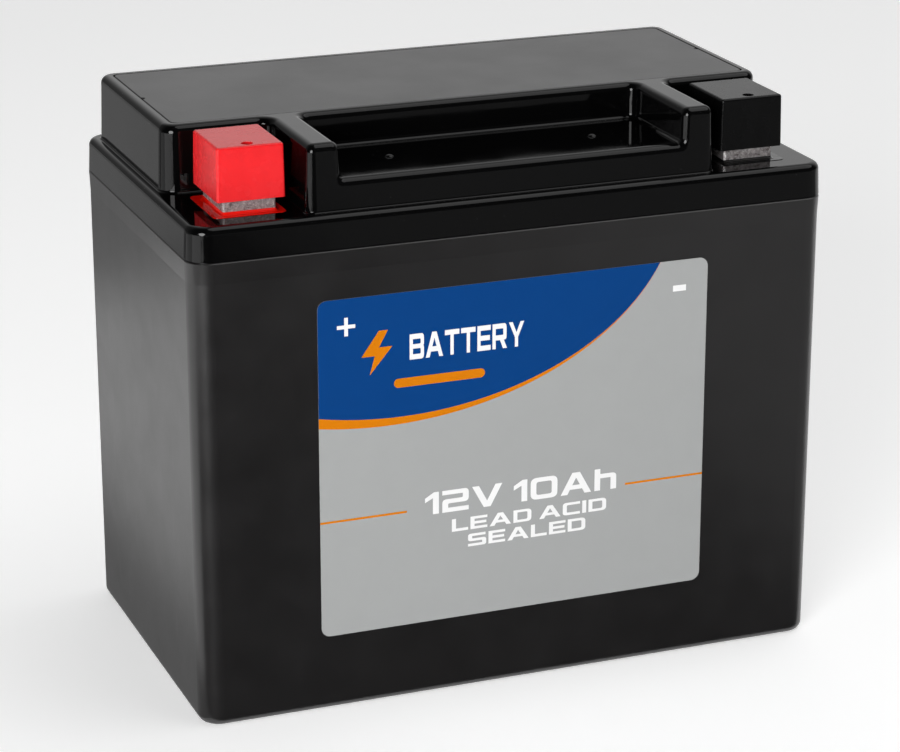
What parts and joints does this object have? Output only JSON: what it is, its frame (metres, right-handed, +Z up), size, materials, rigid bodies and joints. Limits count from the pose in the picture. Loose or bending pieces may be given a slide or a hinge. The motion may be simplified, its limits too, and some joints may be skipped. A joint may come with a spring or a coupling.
{
  "type": "motorcycle battery",
  "caption": "Sealed motorcycle starter battery: a box of cells with plate packs, a welded lid with a vent cover, and box terminals under push-on caps.",
  "frame": {"origin": "middle of the base", "axes": "+Z up; -Y is the front, with the label and the terminals; +X towards the negative terminal"},
  "size_m": [0.15, 0.087, 0.1302],
  "materials": {
    "case_plastic": "satin moulded black with a fine grain",
    "lid_plastic": "polished black, mirror-like",
    "cover_plastic": "finely etched black",
    "label_film": "printed film, grey with a blue field and an orange edge",
    "lead": "cast lead, rough and scuffed",
    "plated_steel": "zinc plated",
    "red_epoxy": "poured red epoxy, glossy",
    "black_epoxy": "poured black epoxy, glossy",
    "red_plastic": "red moulded plastic, satin",
    "black_plastic": "black moulded plastic, satin",
    "valve_rubber": "soft black rubber",
    "positive_paste": "dark brown pasted grid",
    "negative_paste": "grey pasted grid",
    "glass_mat": "white glass-fibre mat"
  },
  "bodies": {
    "battery": {"case": "case_plastic", "lid": "lid_plastic", "vent_cover": "cover_plastic", "front_label": "label_film", "intercell_welds": "lead", "positive_terminal": "lead", "positive_terminal_nut": "plated_steel", "positive_terminal_seal": "red_epoxy", "negative_terminal": "lead", "negative_terminal_nut": "plated_steel", "negative_terminal_seal": "black_epoxy", "positive_plates_1": "positive_paste", "negative_plates_1": "negative_paste", "separators_1": "glass_mat", "positive_strap_1": "lead", "negative_strap_1": "lead", "positive_plates_2": "positive_paste", "negative_plates_2": "negative_paste", "separators_2": "glass_mat", "positive_strap_2": "lead", "negative_strap_2": "lead", "positive_plates_3": "positive_paste", "negative_plates_3": "negative_paste", "separators_3": "glass_mat", "positive_strap_3": "lead", "negative_strap_3": "lead", "positive_plates_4": "positive_paste", "negative_plates_4": "negative_paste", "separators_4": "glass_mat", "positive_strap_4": "lead", "negative_strap_4": "lead", "positive_plates_5": "positive_paste", "negative_plates_5": "negative_paste", "separators_5": "glass_mat", "positive_strap_5": "lead", "negative_strap_5": "lead", "positive_plates_6": "positive_paste", "negative_plates_6": "negative_paste", "separators_6": "glass_mat", "positive_strap_6": "lead", "negative_strap_6": "lead"},
    "positive_cap": {"positive_terminal_cap": "red_plastic"},
    "negative_cap": {"negative_terminal_cap": "black_plastic"},
    "valve_1": {"vent_valve_1": "valve_rubber"},
    "valve_2": {"vent_valve_2": "valve_rubber"},
    "valve_3": {"vent_valve_3": "valve_rubber"},
    "valve_4": {"vent_valve_4": "valve_rubber"},
    "valve_5": {"vent_valve_5": "valve_rubber"},
    "valve_6": {"vent_valve_6": "valve_rubber"}
  },
  "joints": [
    {"name": "positive_cap_lift", "type": "slide", "parent": "battery", "child": "positive_cap", "axis": [0, 0, 1], "range_m": [0, 0.03]},
    {"name": "negative_cap_lift", "type": "slide", "parent": "battery", "child": "negative_cap", "axis": [0, 0, 1], "range_m": [0, 0.03]},
    {"name": "vent_valve_1_lift", "type": "slide", "parent": "battery", "child": "valve_1", "axis": [0, 0, 1], "range_m": [0, 0.0004], "stiffness_N_per_m": 200, "springref_m": -0.005},
    {"name": "vent_valve_2_lift", "type": "slide", "parent": "battery", "child": "valve_2", "axis": [0, 0, 1], "range_m": [0, 0.0004], "stiffness_N_per_m": 200, "springref_m": -0.005},
    {"name": "vent_valve_3_lift", "type": "slide", "parent": "battery", "child": "valve_3", "axis": [0, 0, 1], "range_m": [0, 0.0004], "stiffness_N_per_m": 200, "springref_m": -0.005},
    {"name": "vent_valve_4_lift", "type": "slide", "parent": "battery", "child": "valve_4", "axis": [0, 0, 1], "range_m": [0, 0.0004], "stiffness_N_per_m": 200, "springref_m": -0.005},
    {"name": "vent_valve_5_lift", "type": "slide", "parent": "battery", "child": "valve_5", "axis": [0, 0, 1], "range_m": [0, 0.0004], "stiffness_N_per_m": 200, "springref_m": -0.005},
    {"name": "vent_valve_6_lift", "type": "slide", "parent": "battery", "child": "valve_6", "axis": [0, 0, 1], "range_m": [0, 0.0004], "stiffness_N_per_m": 200, "springref_m": -0.005}
  ]
}
